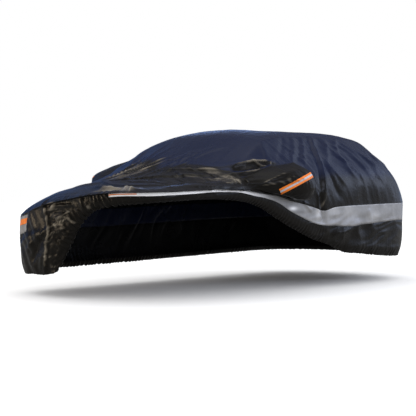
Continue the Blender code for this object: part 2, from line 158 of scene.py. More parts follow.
# Soft ridges and troughs that follow a bowed line on one face, in metres: X and Z on a side, Y and Z on the
# nose or the tail, X and Y on top. A fold that leans is steeper on one flank.
Fold = namedtuple("Fold", "face u0 w0 u1 w1 width height lean bow", defaults=[0.0, 0.0])
FOLD_ROWS = {
    "left": [
        # Over the bonnet's left edge, above the lifted hem
        (-1.84, 0.915, -1.15, 0.918, 0.016, 0.012, 0.3),
        (-1.86, 0.945, -1.05, 0.985, 0.016, 0.012, -0.3, 0.01),
        (-1.75, 0.965, -0.9, 1.04, 0.016, -0.01, 0, 0.01),
        (-1.4, 0.895, -0.8, 0.9, 0.016, -0.012),
        (-1.53, 0.933, -0.95, 0.944, 0.014, -0.012),
        (-1.12, 1.003, -0.98, 1.015, 0.012, 0.012, 0.3),
        (-0.98, 1.015, -0.96, 0.94, 0.012, 0.012, 0.3),
        # The cloth bunched at the foot of the windscreen
        (-1.05, 1.058, -0.52, 1.122, 0.013, 0.03, 0.3, 0.022),
        (-0.82, 1.108, -0.56, 1.132, 0.01, 0.018, 0, 0.004),
        (-0.76, 1.122, -0.6, 1.09, 0.01, 0.016),
        (-0.56, 1.13, -0.61, 1.05, 0.012, 0.022),
        (-0.94, 1.056, -0.62, 1.108, 0.015, -0.026, 0, -0.006),
        (-1.04, 1.02, -0.54, 1.096, 0.012, 0.028, -0.3, -0.014),
        (-1.25, 1.01, -0.7, 1.02, 0.02, -0.014, 0, -0.01),
        # On the mirror pocket
        (-0.87, 0.927, -0.28, 1.072, 0.012, 0.013, 0.3, 0.035),
        (-0.87, 0.924, -0.55, 0.987, 0.01, 0.009, 0, -0.008),
        (-0.82, 0.945, -0.5, 1.02, 0.01, 0.008, 0, -0.01),
        (-0.69, 0.938, -0.37, 1.01, 0.01, 0.009, -0.3),
        (-0.51, 0.85, -0.26, 0.905, 0.012, 0.008, 0.3),
        # Down the side, from the rail seam
        (-0.45, 1.37, -0.56, 1.16, 0.035, 0.01, 0.3),
        (-0.1, 1.375, -0.42, 1.15, 0.022, -0.008),
        (0.07, 1.377, -0.28, 1.122, 0.026, 0.014, 0.3),
        (0.15, 1.355, -0.18, 1.134, 0.02, -0.01),
        (0.22, 1.378, -0.07, 1.145, 0.026, 0.014, -0.3),
        (0.38, 1.4, 0.11, 0.84, 0.024, 0.026, 0.5, -0.065),
        (0.34, 1.41, 0.07, 0.84, 0.02, -0.012, 0, -0.065),
        (0.58, 1.375, 0.3, 1.136, 0.03, 0.014, -0.3),
        (0.21, 1.144, 0.4, 0.825, 0.03, -0.014, 0, -0.012),
        (0.3, 1.118, 0.48, 0.945, 0.03, 0.014, 0.3),
        (0.47, 1.35, 0.8, 1.04, 0.03, 0.012, 0.3, -0.03),
        (0.78, 1.383, 0.73, 0.995, 0.034, 0.014, -0.3, -0.151),
        (0.84, 1.346, 1.36, 1.023, 0.036, 0.016, 0.3, -0.019),
        (0.7, 1.2, 1.15, 0.96, 0.036, -0.012),
        (1.05, 1.33, 1.52, 1.13, 0.034, 0.012, 0.3, -0.02),
        (1.35, 1.28, 1.66, 0.9, 0.036, -0.01, 0, 0.02),
        # At the band's kink and below it
        (0.08, 0.86, 0.16, 0.59, 0.026, -0.024),
        (0.02, 0.86, 0.05, 0.7, 0.016, 0.01),
        (0.3, 0.49, 0.73, 0.56, 0.032, 0.022, 0.3, 0.01),
        (0.57, 0.37, 1.57, 0.309, 0.04, 0.014),
        (0.9, 0.72, 0.95, 0.56, 0.025, 0.01),
        (-0.2, 0.8, -0.05, 0.7, 0.018, 0.01, 0.3),
    ],
    "front": [
        # The flap on the nose
        (0.25, 0.806, 0.27, 0.203, 0.018, 0.024, 0.4, -0.079),
        (0.21, 0.548, 0.52, 0.372, 0.032, 0.018, 0.3),
        (0.26, 0.49, 0.43, 0.269, 0.028, -0.016),
        (0.18, 0.525, 0.33, 0.208, 0.022, 0.012),
        (0.27, 0.538, 0.64, 0.424, 0.03, 0.01, 0, 0.01),
        (0.45, 0.76, 0.66, 0.45, 0.034, -0.014, 0, 0.01),
        (0.15, 0.75, -0.11, 0.762, 0.016, 0.012, 0.3),
        (0.12, 0.719, -0.11, 0.71, 0.016, -0.01),
        (0.15, 0.654, -0.09, 0.667, 0.016, 0.012, -0.3),
        (0.13, 0.602, -0.03, 0.606, 0.014, 0.01),
        (0.17, 0.525, 0.02, 0.553, 0.014, 0.012, 0.3),
        (0.2, 0.443, 0.07, 0.496, 0.014, 0.01),
    ],
    "top": [
        # Across the bonnet and up the windscreen
        (-1.84, 0.04, -2.02, -0.66, 0.04, 0.028, 0.3),
        (-1.67, 0.4, -1.63, -0.164, 0.045, 0.014, -0.3, 0.063),
        (-1.53, 0.263, -1.37, -0.882, 0.03, 0.014, 0.4, -0.287),
        (-1.58, 0.04, -1.58, -0.8, 0.016, 0.01, 0.3, 0.039),
        (-1.47, 0.225, -1.09, -0.646, 0.022, 0.014, 0.4, -0.03),
        (-1.4, 0.02, -1.15, -0.6, 0.024, -0.008, 0, -0.04),
        (-1.13, -0.06, -0.98, -0.72, 0.018, 0.013, -0.3, -0.03),
        (-1.05, 0.445, -0.64, 0.582, 0.034, 0.01, 0.3),
        (-1.51, 0.194, -0.67, 0.321, 0.026, 0.009, 0.3, 0.042),
        (-1.31, 0.275, -0.73, 0.191, 0.03, 0.01, 0.3, 0.026),
        (-1.4, 0.094, -0.78, -0.211, 0.03, 0.01, -0.3, 0.091),
        (-1.3, 0, -0.72, -0.33, 0.022, 0.007, 0, 0.06),
        (-1.2, -0.15, -0.7, -0.42, 0.022, 0.008, 0, 0.04),
        # Fanned out from the right end of the windscreen's foot
        (-1.34, 0.44, -0.86, 0.02, 0.012, 0.012, 0.3, 0.02),
        (-1.32, 0.47, -0.88, 0.24, 0.012, 0.012, -0.3, 0.01),
        (-1.28, 0.5, -0.84, 0.38, 0.012, 0.011, 0.3, 0.01),
        (-1.25, 0.33, -0.9, -0.12, 0.012, 0.011, 0.3, 0.01),
    ],
    "right": [
        (-1.8, 0.9, -0.95, 0.96, 0.028, 0.014, 0.3, 0.01),
        (-0.3, 1.33, -0.45, 0.7, 0.05, 0.014, 0.3, 0.02),
        (0.35, 1.36, 0.3, 0.5, 0.05, 0.016, -0.3, 0.02),
        (0.95, 1.34, 1.2, 0.7, 0.05, -0.014, 0, 0.02),
        (1.45, 1.28, 1.6, 0.4, 0.05, 0.014, 0.3, 0.02),
    ],
    "rear": [
        (-0.45, 1.2, -0.55, 0.45, 0.05, 0.014, 0.3, 0.02),
        (0.1, 1.25, 0.05, 0.5, 0.06, -0.012, 0, 0.02),
        (0.5, 1.2, 0.58, 0.4, 0.05, 0.014, -0.3, 0.02),
    ],
}
FOLDS = [Fold(face, *row) for face, rows in FOLD_ROWS.items() for row in rows]


def column(rows, name):
    return np.array([getattr(row, name) for row in rows])


def curve(rows, name, over, at):
    """A smooth curve through one column of a table, held level past its ends."""
    x, y = column(rows, over), column(rows, name)
    at = np.clip(at, x[0], x[-1])
    slope = np.gradient(y, x)
    i = np.clip(np.searchsorted(x, at) - 1, 0, len(x) - 2)
    h = x[i + 1] - x[i]
    u = (at - x[i]) / h
    return (
        (1 + 2 * u) * (1 - u) ** 2 * y[i]
        + u * (1 - u) ** 2 * h * slope[i]
        + u**2 * (3 - 2 * u) * y[i + 1]
        + u**2 * (u - 1) * h * slope[i + 1]
    )


def top(p, q):
    """The top of the cover, over the square -1 to 1 along the car and across it."""
    ahead, behind = np.clip(-p, 0, 1), np.clip(p, 0, 1)
    x = np.interp(p, [-1, 1], [TOP[0].x, TOP[-1].x])
    bow = NOSE_BOW * ahead**BOW_FADE - TAIL_BOW * behind**BOW_FADE
    drop = curve(TOP, "shoulder_drop", "x", x) * np.abs(q) ** CROWN_POWER
    gathered = GATHER_LIFT * ahead**GATHER_FADE_ALONG * np.clip(-q, 0, 1) ** GATHER_FADE_ACROSS
    height = curve(TOP, "height", "x", x) - drop + gathered
    half_width = curve(TOP, "half_width", "x", x)
    return np.stack([x + bow * np.abs(q) ** BOW_POWER, q * half_width, height], axis=-1)


def outline(p, q):
    """The cover's plan at bumper height, for the same square."""
    shapes = []
    for end in (NOSE, TAIL):
        x = end.reach * p * (1 - end.end_rounding * np.abs(q) ** end.end_power)
        y = HALF_WIDTH * q * (1 - end.side_rounding * np.abs(p) ** end.side_power)
        shapes.append(np.stack([x, y], axis=-1))
    return np.where(np.reshape(p < 0, (-1, 1)), *shapes)


def unit(vectors):
    return vectors / np.maximum(np.linalg.norm(vectors, axis=-1, keepdims=True), 1e-12)


# The ring of stations starts at the front left corner and runs back down the left side
cells_along, cells_across = ALONG[-1].cell, ACROSS[-1].cell
p_lines = np.interp(np.arange(cells_along + 1), column(ALONG, "cell"), column(ALONG, "at"))
q_lines = np.interp(np.arange(cells_across + 1), column(ACROSS, "cell"), column(ACROSS, "at"))
ring_p = np.concatenate([p_lines[:-1], np.ones(cells_across), p_lines[:0:-1], -np.ones(cells_across)])
ring_q = np.concatenate([-np.ones(cells_along), q_lines[:-1], np.ones(cells_along), q_lines[:0:-1]])
stations = len(ring_p)
nose_first = 2 * cells_along + cells_across
plan = outline(ring_p, ring_q)
tangent = unit(np.roll(plan, -1, 0) - np.roll(plan, 1, 0))
outward = np.stack([tangent[:, 1], -tangent[:, 0]], axis=-1)
steps = np.linalg.norm(np.roll(plan, -1, 0) - plan, axis=1)
along = np.concatenate([[0], np.cumsum(steps)[:-1]])
along[nose_first:] -= steps.sum()


def edge(name):
    return curve(EDGES, name, "along", along)


def below_lip(level):
    """One line of the skirt or the band, at a level from the hem's 0 to the band's head."""
    inset = curve(LINES, "inset", "level", np.array([level]))[0]
    line = LINES[min(int(level), BAND_HEAD - 1)]
    after = LINES[line.level + 1]
    t = level - line.level
    share = line.share * (1 - t) + (1.0 if after.level == BAND_FOOT else after.share) * t
    foot, head = ("hem", "band_low") if line.level < BAND_FOOT else ("band_low", "band_high")
    height = edge(foot) * (1 - share) + edge(head) * share
    rise = line.rise * (1 - t) ** HEM_EASE + after.rise * t
    return np.column_stack([plan - outward * inset, height + rise])


lip = np.column_stack([plan + outward * edge("lip_out")[:, None], edge("lip")])
shoulder = top(ring_p, ring_q)
rise_to_shoulder = shoulder[:, 2] - lip[:, 2]
run_to_shoulder = np.linalg.norm(shoulder[:, :2] - lip[:, :2], axis=1)
fullness = BELLY * np.interp(ring_p, *BELLY_ALONG)


def above_lip(level):
    """One line of the side between the lip and the shoulder."""
    t = ((level - LIP) / UPPER_LEVELS) ** WALL_EASE
    line = lip * (1 - t) + shoulder * t
    belly = fullness * np.sin(np.pi * t) * (1 + LOW_BELLY * np.cos(np.pi * t))
    line[:, :2] += outward * (rise_to_shoulder * belly)[:, None]
    line[:, 2] += run_to_shoulder * belly
    return line


levels = []
for line in LINES:
    levels += list(line.level + np.arange(line.cells) / line.cells)
levels = np.array(levels + list(LIP + np.arange(UPPER_CELLS) * UPPER_LEVELS / UPPER_CELLS))
wall = []
for level in levels:
    if level >= LIP:
        wall.append(above_lip(level))
    elif level > BAND_HEAD:
        t = level - BAND_HEAD
        wall.append(below_lip(BAND_HEAD) * (1 - t) + lip * t)
    else:
        wall.append(below_lip(level))
wall = np.array(wall)
wall_rows = len(wall)
top_points = top(*np.meshgrid(p_lines, q_lines, indexing="ij"))
points = np.concatenate([wall.reshape(-1, 3), top_points.reshape(-1, 3)])


def quads_of(grid):
    """The four corners of each cell of a grid of points."""
    return np.stack([grid[:-1, :-1], grid[1:, :-1], grid[1:, 1:], grid[:-1, 1:]], axis=-1)


# The net's cells, and what each point's place on it is
top_size = (cells_along + 1) * (cells_across + 1)
on_top = wall_rows * stations + np.arange(top_size).reshape(cells_along + 1, cells_across + 1)
top_rim = np.concatenate([on_top[:-1, 0], on_top[-1, :-1], on_top[:0:-1, -1], on_top[0, :0:-1]])
rings = np.vstack([np.arange(wall_rows * stations).reshape(wall_rows, stations), top_rim])
closed = np.column_stack([rings, rings[:, 0]])
wall_cells = quads_of(closed.T).swapaxes(0, 1)
top_cells = quads_of(on_top)
cells = np.concatenate([wall_cells.reshape(-1, 4), top_cells.reshape(-1, 4)])
level_of = np.concatenate([np.repeat(levels, stations), np.full(top_size, float(SHOULDER))])

# Which panel each cell belongs to
face_at = np.full(stations, "front", dtype="<U5")
face_at[:nose_first] = "right"
face_at[: cells_along + cells_across] = "rear"
face_at[:cells_along] = "left"
cell_p = (ring_p + np.roll(ring_p, -1)) / 2
cell_q = (ring_q + np.roll(ring_q, -1)) / 2
cell_level = (levels + np.append(levels[1:], SHOULDER)) / 2

# The band's two ends wrap round the front corners and stop short of the nose's middle
BAND_ENDS = (-0.60, 0.65)
band_here = (face_at != "front") | (cell_q < BAND_ENDS[0]) | (cell_q > BAND_ENDS[1])
owner = np.full((wall_rows, stations), "centre_panel", dtype="<U20")
for face in ("left", "right"):
    owner[:, face_at == face] = f"side_panel_{face}"
for pocket in POCKETS:
    across = (face_at == pocket.face) & (cell_p > pocket.front) & (cell_p < pocket.rear)
    up = (cell_level > pocket.low) & (cell_level < pocket.high)
    owner[np.ix_(up, across)] = f"mirror_pocket_{pocket.face}"
in_band = (cell_level > BAND_FOOT) & (cell_level < BAND_HEAD)
owner[np.ix_(in_band, band_here)] = "band"
owner[cell_level < BAND_FOOT] = "skirt"
owner = np.concatenate([owner.ravel(), np.full(top_cells[..., 0].size, "centre_panel")])


def face_vectors(points, cells):
    """A vector out of each cell, twice as long as its area."""
    a, b, c, d = (points[cells[:, n]] for n in range(4))
    return np.cross(c - a, d - b)


def normals_of(points, cells):
    """Outward normals. Every cell round a point counts alike."""
    face = unit(face_vectors(points, cells))
    total = np.zeros_like(points)
    for n in range(4):
        for axis in range(3):
            total[:, axis] += np.bincount(cells[:, n], face[:, axis], len(points))
    return unit(total)


def relaxed(values, cells, how_much, times):
    """Each point moves towards the mean of its neighbours."""
    ends = np.concatenate([cells[:, [n, (n + 1) % 4]] for n in range(4)])
    ends = np.concatenate([ends, ends[:, ::-1]])
    count = np.bincount(ends[:, 0], minlength=len(values))
    values = values.copy()
    for _ in range(times):
        for axis in range(values.shape[1]):
            mean = np.bincount(ends[:, 0], values[ends[:, 1], axis], len(values)) / count
            values[:, axis] += how_much * (mean - values[:, axis])
    return values


# The rail seam at the shoulder is an easy curve over the roof's edge, not a corner
SHOULDER_PASSES, SHOULDER_EASE = 30, 0.5
EASE_FROM, EASE_OVER = LIP + 3, 3
loose = SHOULDER_EASE * np.clip((level_of - EASE_FROM) / EASE_OVER, 0, 1)
points = relaxed(points, cells, loose, SHOULDER_PASSES)

NOISE_KEYS = 1024
noise_table = np.random.default_rng(11).permutation(NOISE_KEYS)


def noise(at):
    """Smooth noise from -1 to 1, with one bump to each unit."""
    base = np.floor(at).astype(int)
    part = at - base
    part = part * part * (3 - 2 * part)
    total = np.zeros(len(at))
    for corner in np.ndindex(2, 2, 2):
        key = np.zeros(len(at), int)
        weight = np.ones(len(at))
        for axis in range(3):
            key = noise_table[(key + base[:, axis] + corner[axis]) % NOISE_KEYS]
            weight = weight * (part[:, axis] if corner[axis] else 1 - part[:, axis])
        total += weight * key
    return 2 * total / (NOISE_KEYS - 1) - 1


# Each face's two axes, and the way it looks
FACES = {
    "left": ((0, 2), (0, -1, 0)),
    "right": ((0, 2), (0, 1, 0)),
    "front": ((1, 2), (-1, 0, 0)),
    "rear": ((1, 2), (1, 0, 0)),
    "top": ((0, 1), (0, 0, 1)),
}

# A fold wanders from its line by a third of its width, bending about nine times to the metre
FOLD_WANDER, FOLD_BENDS, FOLD_SEED = 0.35, 9, 7
# It rises over its first part and dies out over its last, as shares of its length
FOLD_START, FOLD_END = (-0.06, 0.12), (0.80, 1.06)
FOLD_PROFILE, FOLD_END_EASE = 1.6, 0.8


def fold_lift(fold):
    """How far one fold lifts each point of the net."""
    axes, faces_to = FACES[fold.face]
    start = np.array((fold.u0, fold.w0))
    way = np.array((fold.u1, fold.w1)) - start
    length = np.linalg.norm(way)
    way = way / length
    off = points[:, list(axes)] - start
    t = off @ way / length
    aside = off @ np.array([-way[1], way[0]]) - fold.bow * 4 * t * (1 - t)
    wander = noise(points * FOLD_BENDS + fold.u0 * FOLD_SEED)
    aside = aside + FOLD_WANDER * fold.width * wander
    width = fold.width * (1 + fold.lean * np.sign(aside))
    ends = np.interp(t, FOLD_START, (0, 1)) * np.interp(t, FOLD_END, (1, 0))
    facing = np.sqrt(np.clip(normals @ np.array(faces_to), 0, 1))
    profile = np.exp(-np.abs(aside / width) ** FOLD_PROFILE)
    return fold.height * profile * facing * ends**FOLD_END_EASE


for pocket in POCKETS:
    used = np.unique(cells[owner == f"mirror_pocket_{pocket.face}"])
    k = used % stations
    s = (ring_p[k] - pocket.front) / (pocket.rear - pocket.front)
    t = (levels[used // stations] - pocket.low) / (pocket.high - pocket.low)
    s, t = np.clip(s, 0, 1), np.clip(t, 0, 1)
    ramp = np.sin(np.pi / 2 * np.clip(s / pocket.crest, 0, 1)) ** pocket.ramp
    round_end = np.sqrt(1 - np.clip((s - pocket.crest) / (1 - pocket.crest), 0, 1) ** 2)
    bulge = ramp * round_end * np.sin(np.pi * t) ** POCKET_ROUNDNESS
    points[used, 1] += pocket.side * pocket.depth * bulge
    points[used, 0] += pocket.sweep * bulge * s
    points[used, 2] -= (pocket.sag_low * (1 - t) ** 3 + pocket.sag_high) * bulge

# Narrow, sharp folds get a painted warm brown highlight on the upper half of the crest
NARROW, SHARP, SHARP_HIGHLIGHT = 0.02, 0.45, 1.3
# The turned-in edge below this level stays plain
HEM_LEVEL = 2
normals = normals_of(points, cells)
lifts = [fold_lift(fold) for fold in FOLDS]
fold_highlight = sum(
    np.clip(SHARP_HIGHLIGHT * (fold.height / fold.width - SHARP), 0, 1)
    * np.clip(2 * lift / fold.height - 1, 0, 1)
    for fold, lift in zip(FOLDS, lifts)
    if fold.width < NARROW
)
points = points + normals * np.where(level_of < HEM_LEVEL, 0, sum(lifts))[:, None]

# Patches where the cloth lies crumpled: an oval on one face, its wrinkles' slant in degrees, their pitch
# along and across, and their depth, in metres. pale is how strong the painted highlight on the crests is,
# fill the share of it painted between them, and dark how far the painted navy reflection gives way to the
# cloth's own black there.
patch_fields = "face u w half_u half_w slant pitch_along pitch_across depth pale dark fill"
Crumple = namedtuple("Crumple", patch_fields, defaults=[0.12])
CRUMPLE_ROWS = {
    "front": [
        (0.02, 0.7, 0.18, 0.16, -4, 0.15, 0.03, 0.016, 1, 1),
        (0.14, 0.42, 0.13, 0.26, -20, 0.11, 0.03, 0.016, 0.8, 1),
        (0.54, 0.42, 0.24, 0.32, 58, 0.36, 0.05, 0.014, 0.15, 1),
        (-0.36, 0.78, 0.22, 0.07, 60, 0.1, 0.032, 0.012, 0.8, 1),
    ],
    "left": [
        (-1.7, 0.93, 0.35, 0.1, 8, 0.16, 0.034, 0.01, 0.3, 0.8),
        (-1.09, 0.972, 0.14, 0.034, 30, 0.055, 0.036, 0.007, 1.3, 1, 0.4),
        (-1.2, 0.91, 0.55, 0.06, 4, 0.3, 0.036, 0.008, 0.2, 1),
        (-0.72, 1.06, 0.34, 0.09, 20, 0.14, 0.034, 0.008, 0.3, 0.9),
        (-0.5, 0.95, 0.3, 0.1, 24, 0.26, 0.034, 0.006, 0.1, 1),
        (0.11, 0.83, 0.05, 0.12, 80, 0.12, 0.026, 0.012, 1, 0.8),
        (0.6, 1.1, 1, 0.34, -60, 0.42, 0.075, 0.008, 0, 0),
        (1, 1.2, 0.6, 0.2, -35, 0.36, 0.05, 0.006, 0, 0),
        (0.6, 0.48, 0.9, 0.18, 10, 0.24, 0.06, 0.01, 0, 0.5),
    ],
    "top": [
        (-1.97, -0.4, 0.15, 0.24, 40, 0.3, 0.05, 0.012, 2.2, 1, 0.55),
        (-1.36, -0.25, 0.25, 0.62, 70, 0.3, 0.04, 0.008, 0.3, 1),
        (-1.06, -0.56, 0.035, 0.14, -69, 0.3, 0.05, 0.004, 0.6, 1, 0.8),
        (-1.1, -0.78, 0.12, 0.08, 30, 0.05, 0.038, 0.006, 0.7, 1, 0.4),
        (-1.12, -0.44, 0.12, 0.34, 78, 0.34, 0.034, 0.006, 0.3, 1),
        (-1.14, 0.26, 0.26, 0.24, -38, 0.6, 0.034, 0.007, 0.9, 0.8, 0.15),
        (-1, -0.1, 0.4, 0.4, 14, 0.6, 0.06, 0.004, 0.1, 0),
        (0.5, 0, 1.6, 0.65, 5, 0.6, 0.11, 0.004, 0, 0),
    ],
    "right": [(-0.2, 0.9, 2, 0.5, 60, 0.36, 0.075, 0.01, 0.1, 0)],
    "rear": [(0, 0.8, 0.85, 0.55, 80, 0.36, 0.075, 0.01, 0.1, 0)],
}
CRUMPLES = [Crumple(face, *row) for face, rows in CRUMPLE_ROWS.items() for row in rows]
# Wrinkles wander across by about a pitch, and have smaller ones over them
MEANDER, RIDGE_SHARPNESS, SMALL_RIDGES = 1.2, 1.6, 0.4
# A ridge has a painted highlight along its top, in a line that breaks off and fades here and there
HIGHLIGHT_TOP, HIGHLIGHT_FALL = 1.2, 4
BREAKS_MEAN, BREAKS_MOST = 0.8, 1.2
# A patch ends fairly sharply, and dies out where the cloth turns away from its face
PATCH_EDGE, PATCH_TURN = 4, 0.7
# The meander, the smaller ridges and the breaks are noise of so many bumps to a wrinkle, along it and
# across it. Each has its own place in the noise, and so does each patch.
MEANDER_GRAIN, SMALL_GRAIN, BREAK_GRAIN = (1.0, 0.35, 1.0), (1.9, 2.1, 1.0), (2.5, 0.6, 1.0)
MEANDER_SEED, SMALL_SEED, BREAK_SEED, PATCH_SEED = 31.7, 5.3, 9.1, 5


def crumple_lift(patch):
    """How far a crumpled patch lifts each point, its painted highlight on the crests, and how far the
    painted navy reflection gives way to black there.
    """
    axes, faces_to = FACES[patch.face]
    away = points[:, list(axes)] - (patch.u, patch.w)
    near = np.exp(-np.sum((away / (patch.half_u, patch.half_w)) ** PATCH_EDGE, axis=1))
    here = near * np.clip(normals @ np.array(faces_to), 0, 1) ** PATCH_TURN
    turn = math.radians(patch.slant)
    along_way = (away @ (math.cos(turn), math.sin(turn))) / patch.pitch_along
    across_way = (away @ (-math.sin(turn), math.cos(turn))) / patch.pitch_across
    place = np.column_stack([along_way, across_way, np.full(len(away), patch.u * PATCH_SEED)])
    place[:, 1] += MEANDER * noise(place * MEANDER_GRAIN + MEANDER_SEED)
    valley = np.abs(noise(place))
    small = noise(place * SMALL_GRAIN + SMALL_SEED)
    ridges = 0.5 - RIDGE_SHARPNESS * valley + SMALL_RIDGES * small
    breaks = np.clip(BREAKS_MEAN + noise(place * BREAK_GRAIN + BREAK_SEED), 0, BREAKS_MOST)
    crests = np.clip(HIGHLIGHT_TOP - HIGHLIGHT_FALL * valley, 0, 1) * breaks
    pale = patch.pale * (patch.fill + (1 - patch.fill) * crests)
    return patch.depth * here * ridges, pale * here, patch.dark * here


normals = normals_of(points, cells)
lifts, crests, dark_patches = zip(*[crumple_lift(patch) for patch in CRUMPLES])
points = points + normals * np.where(level_of < HEM_LEVEL, 0, sum(lifts))[:, None]
# Painted highlights on the crests of crumples and sharp folds
crest = np.clip(sum(crests) + fold_highlight, 0, 2)
# The navy is a painted blue sky reflection. It gives way to the cloth's own black where it is crumpled,
# towards the skirt and on the mirror pockets
BLACK_BELOW, NAVY_ABOVE, DARK_GAIN = 0.88, 1.12, 1.2
low_down = np.interp(points[:, 2], (BLACK_BELOW, NAVY_ABOVE), (1, 0))
black = np.maximum(low_down, np.clip(DARK_GAIN * sum(dark_patches), 0, 1))
black[np.unique(cells[np.char.startswith(owner, "mirror")])] = 1.0
cloth_state = np.column_stack([crest, black])

# The elastic gathers the hem into small pleats that run up from it and die out. along is the way round, as
# in the edges' table.
Gather = namedtuple("Gather", "along depth reach")
GATHERS = [
    Gather(-1.6, 0.006, 0.07),
    Gather(-1.2, 0.007, 0.1),
    Gather(-1, 0.01, 0.16),
    Gather(-0.6, 0.01, 0.15),
    Gather(-0.2, 0.007, 0.07),
    Gather(0.6, 0.004, 0.04),
    Gather(1.6, 0.005, 0.06),
    Gather(2.6, 0.006, 0.09),
    Gather(9.6, 0.006, 0.08),
]
PLEAT_PITCH, PLEAT_TOP = 0.044, 0.16
# Even pleats lean to and fro, with uneven ones between, and some are deeper than others. The lean and
# the depth bend so many times to the metre, round the hem and up from it.
PLEAT_LEAN, LEAN_ROUND, LEAN_UP = 3.5, 9, 6
UNEVEN, UNEVEN_TO_A_PLEAT, UNEVEN_UP = 0.5, 2.3, 14
DEPTH_MEAN, DEPTH_SPREAD, DEPTH_BENDS = 0.65, 0.6, 6
PLEAT_FADE = 1.5
# The net's row at the hem's fold. It is looked at each fourth station, and its way is taken over eight.
HEM_ROW, HEM_STEP, HEM_SPAN = 2, 4, 8
hem = points[:stations]
hem_steps = np.linalg.norm(np.roll(hem, -1, 0) - hem, axis=1)
hem_along = np.concatenate([[0], np.cumsum(hem_steps)[:-1]])
pleated = np.flatnonzero(points[:, 2] < np.max(hem[:, 2]) + PLEAT_TOP)
hem_fold = points[HEM_ROW * stations : (HEM_ROW + 1) * stations]
nearest, reach_to = np.zeros(len(pleated), int), np.full(len(pleated), np.inf)
for first in range(0, stations, HEM_STEP):
    off = np.linalg.norm(points[pleated] - hem_fold[first], axis=1)
    closer = off < reach_to
    nearest[closer], reach_to[closer] = first, off[closer]
at_hem = curve(GATHERS, "depth", "along", along[nearest])
way_up = curve(GATHERS, "reach", "along", along[nearest])
beyond = points[pleated] - hem_fold[nearest]
tangents = unit(np.roll(hem_fold, -HEM_SPAN, 0) - np.roll(hem_fold, HEM_SPAN, 0))
round_hem = hem_along[nearest] + np.sum(beyond * tangents[nearest], axis=1)
flat = np.zeros(len(pleated))
lean = noise(np.column_stack([round_hem * LEAN_ROUND, reach_to * LEAN_UP, flat]))
to_a_pleat = round_hem / PLEAT_PITCH * UNEVEN_TO_A_PLEAT
between = noise(np.column_stack([to_a_pleat, reach_to * UNEVEN_UP, flat + 1]))
pleats = np.sin(2 * np.pi * round_hem / PLEAT_PITCH + PLEAT_LEAN * lean) + UNEVEN * between
deeper = DEPTH_MEAN + DEPTH_SPREAD * noise(points[pleated] * DEPTH_BENDS)
pleat_lift = np.zeros(len(points))
pleat_lift[pleated] = at_hem * pleats * np.exp(-((reach_to / way_up) ** PLEAT_FADE)) * deeper
normals = normals_of(points, cells)
points = points + normals * pleat_lift[:, None]

normals = normals_of(points, cells)
points = points + GROUND

# How far along and up the cloth each point lies, in metres, for the weave. The top's cloth lies beside the
# wall's.
TOP_CLOTH_AT = (2.2, 3.0)
wall_up = np.cumsum(np.linalg.norm(np.diff(wall, axis=0, prepend=wall[:1]), axis=2), axis=0)
round_wall = np.append(along[:nose_first], along[nose_first:] + steps.sum())
wall_uv = np.stack([np.broadcast_to(round_wall, wall_up.shape), wall_up], axis=-1)
cloth_uv = np.concatenate([wall_uv.reshape(-1, 2), top_points[..., :2].reshape(-1, 2) + TOP_CLOTH_AT])


def linear(hex_colour):
    """An sRGB hex colour as linear RGBA."""
    parts = [int(hex_colour[n : n + 2], 16) / 255 for n in (1, 3, 5)]
    return (*[c / 12.92 if c <= 0.04045 else ((c + 0.055) / 1.055) ** 2.4 for c in parts], 1)


def feed(node, inputs):
    """Feeds a node's inputs, by name or number: each is a link, a number or an sRGB hex colour."""
    for key, value in inputs.items():
        if isinstance(value, bpy.types.NodeSocket):
            node.id_data.links.new(value, node.inputs[key])
        else:
            node.inputs[key].default_value = linear(value) if isinstance(value, str) else value


def add_node(material, kind, inputs=(), **settings):
    """Adds a shader node with its inputs and settings, and gives its outputs. A Mix node's input 0 is the
    share of its second colour, and 6 and 7 are its colours."""
    made = material.node_tree.nodes.new(f"ShaderNode{kind}")
    for name, value in settings.items():
        setattr(made, name, value)
    feed(made, dict(inputs))
    return made.outputs


def new_material(name):
    made = bpy.data.materials.new(name)
    made.use_nodes = True
    return made, made.node_tree.nodes["Principled BSDF"]


